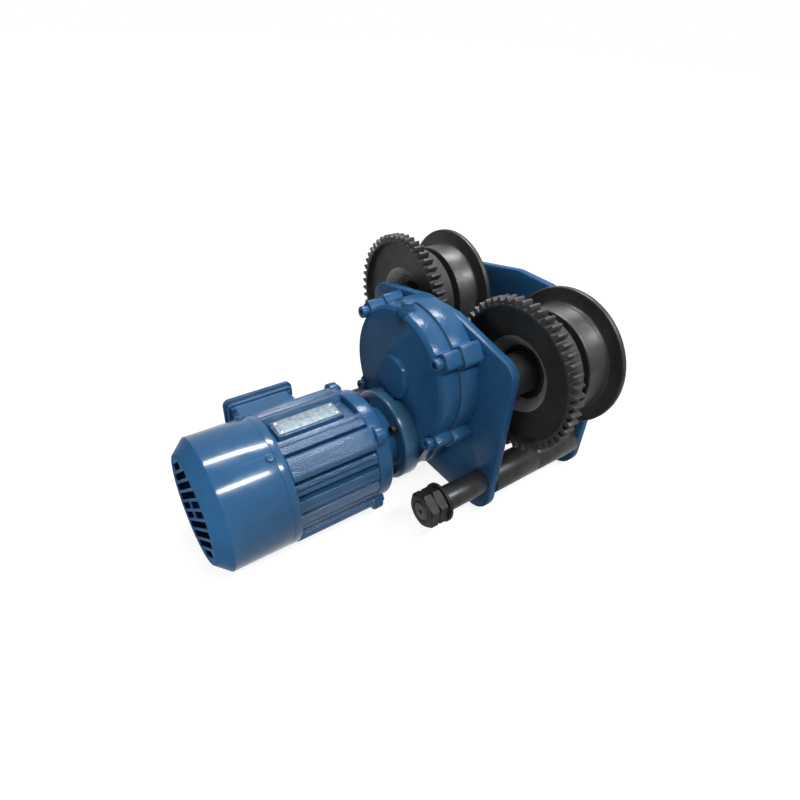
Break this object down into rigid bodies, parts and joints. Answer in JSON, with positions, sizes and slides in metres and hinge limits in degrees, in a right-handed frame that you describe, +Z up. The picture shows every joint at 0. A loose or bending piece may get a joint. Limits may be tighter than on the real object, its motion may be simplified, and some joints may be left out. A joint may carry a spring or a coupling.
{
  "type": "motorized beam trolley",
  "caption": "Motor driven beam trolley: geared and plain flanged wheels between two side plates, round gearbox, finned motor and load shafts for a hoist.",
  "frame": {"origin": "on the beam's running surface (bottom of the treads), midway between the front and rear wheels and on the centre line of the beam's web", "axes": "+Z up, +X along the beam (front), +Y across the beam towards the idle wheels; the motor sticks out along -Y"},
  "size_m": [0.341, 0.431, 0.2453],
  "materials": {
    "blue_enamel": "gloss",
    "dark_enamel": "satin",
    "black_steel": "satin",
    "black_screws": "satin",
    "bright_steel": "satin",
    "copper_windings": "satin",
    "black_rubber": "matte",
    "black_plastic": "matte",
    "brown_plastic": "satin",
    "plate_aluminium": "satin"
  },
  "bodies": {
    "frame": {"drive_side_plate": "blue_enamel", "idle_side_plate": "blue_enamel", "front_load_shaft": "black_steel", "rear_load_shaft": "black_steel", "load_shaft_nuts": "black_steel", "load_shaft_washers": "black_steel", "load_shaft_split_pins": "bright_steel", "outer_spacer_pipes": "black_steel", "inner_spacer_collars": "black_steel", "front_drive_axle": "black_steel", "rear_drive_axle": "black_steel", "front_idle_axle": "black_steel", "rear_idle_axle": "black_steel", "axle_circlips": "bright_steel", "wheel_bearing_inner_rings": "bright_steel", "gearbox_housing": "blue_enamel", "gearbox_gasket": "black_rubber", "gearbox_cover": "blue_enamel", "gearbox_screws": "blue_enamel", "oil_plug": "blue_enamel", "oil_plug_washer": "blue_enamel", "output_seal": "black_rubber", "output_bearing_outers": "bright_steel", "motor_adapter": "dark_enamel", "adapter_screws": "black_screws", "input_seal": "black_rubber", "drive_end_shield": "blue_enamel", "motor_body": "blue_enamel", "rear_end_shield": "blue_enamel", "motor_tie_bolts": "bright_steel", "stator_core": "bright_steel", "stator_windings": "copper_windings", "motor_bearing_outers": "bright_steel", "fan_cover": "blue_enamel", "fan_cover_screws": "blue_enamel", "terminal_box": "blue_enamel", "terminal_box_gasket": "black_rubber", "terminal_box_lid": "blue_enamel", "terminal_lid_screws": "blue_enamel", "terminal_block": "brown_plastic", "nameplate": "plate_aluminium"},
    "front_drive": {"front_drive_wheel": "black_steel", "front_drive_bearing_outers": "bright_steel"},
    "rear_drive": {"rear_drive_wheel": "black_steel", "rear_drive_bearing_outers": "bright_steel"},
    "output_train": {"output_shaft": "black_steel", "output_bearing_inners": "bright_steel", "reduction_gear": "bright_steel"},
    "motor_rotor": {"motor_shaft": "bright_steel", "motor_bearing_inners": "bright_steel", "rotor_core": "bright_steel", "motor_pinion": "black_steel", "cooling_fan": "black_plastic"},
    "front_idle": {"front_idle_wheel": "black_steel", "front_idle_bearing_outers": "bright_steel"},
    "rear_idle": {"rear_idle_wheel": "black_steel", "rear_idle_bearing_outers": "bright_steel"}
  },
  "joints": [
    {"name": "front_drive_spin", "type": "hinge", "parent": "frame", "child": "front_drive", "pos_m": [0.093, 0, 0.0555], "axis": [0, 1, 0], "continuous": true},
    {"name": "rear_drive_spin", "type": "hinge", "parent": "frame", "child": "rear_drive", "pos_m": [-0.093, 0, 0.0555], "axis": [0, 1, 0], "continuous": true},
    {"name": "output_spin", "type": "hinge", "parent": "frame", "child": "output_train", "pos_m": [0, 0, 0.02622], "axis": [0, 1, 0], "continuous": true},
    {"name": "rotor_spin", "type": "hinge", "parent": "frame", "child": "motor_rotor", "pos_m": [0, 0, -0.04578], "axis": [0, 1, 0], "continuous": true},
    {"name": "front_idle_spin", "type": "hinge", "parent": "frame", "child": "front_idle", "pos_m": [0.093, 0, 0.0555], "axis": [0, 1, 0], "continuous": true},
    {"name": "rear_idle_spin", "type": "hinge", "parent": "frame", "child": "rear_idle", "pos_m": [-0.093, 0, 0.0555], "axis": [0, 1, 0], "continuous": true}
  ],
  "couplings": [
    {"joint": "rear_drive_spin", "follows": "front_drive_spin", "ratio": 1},
    {"joint": "output_spin", "follows": "front_drive_spin", "ratio": -3.3333},
    {"joint": "rotor_spin", "follows": "front_drive_spin", "ratio": 16.667}
  ]
}
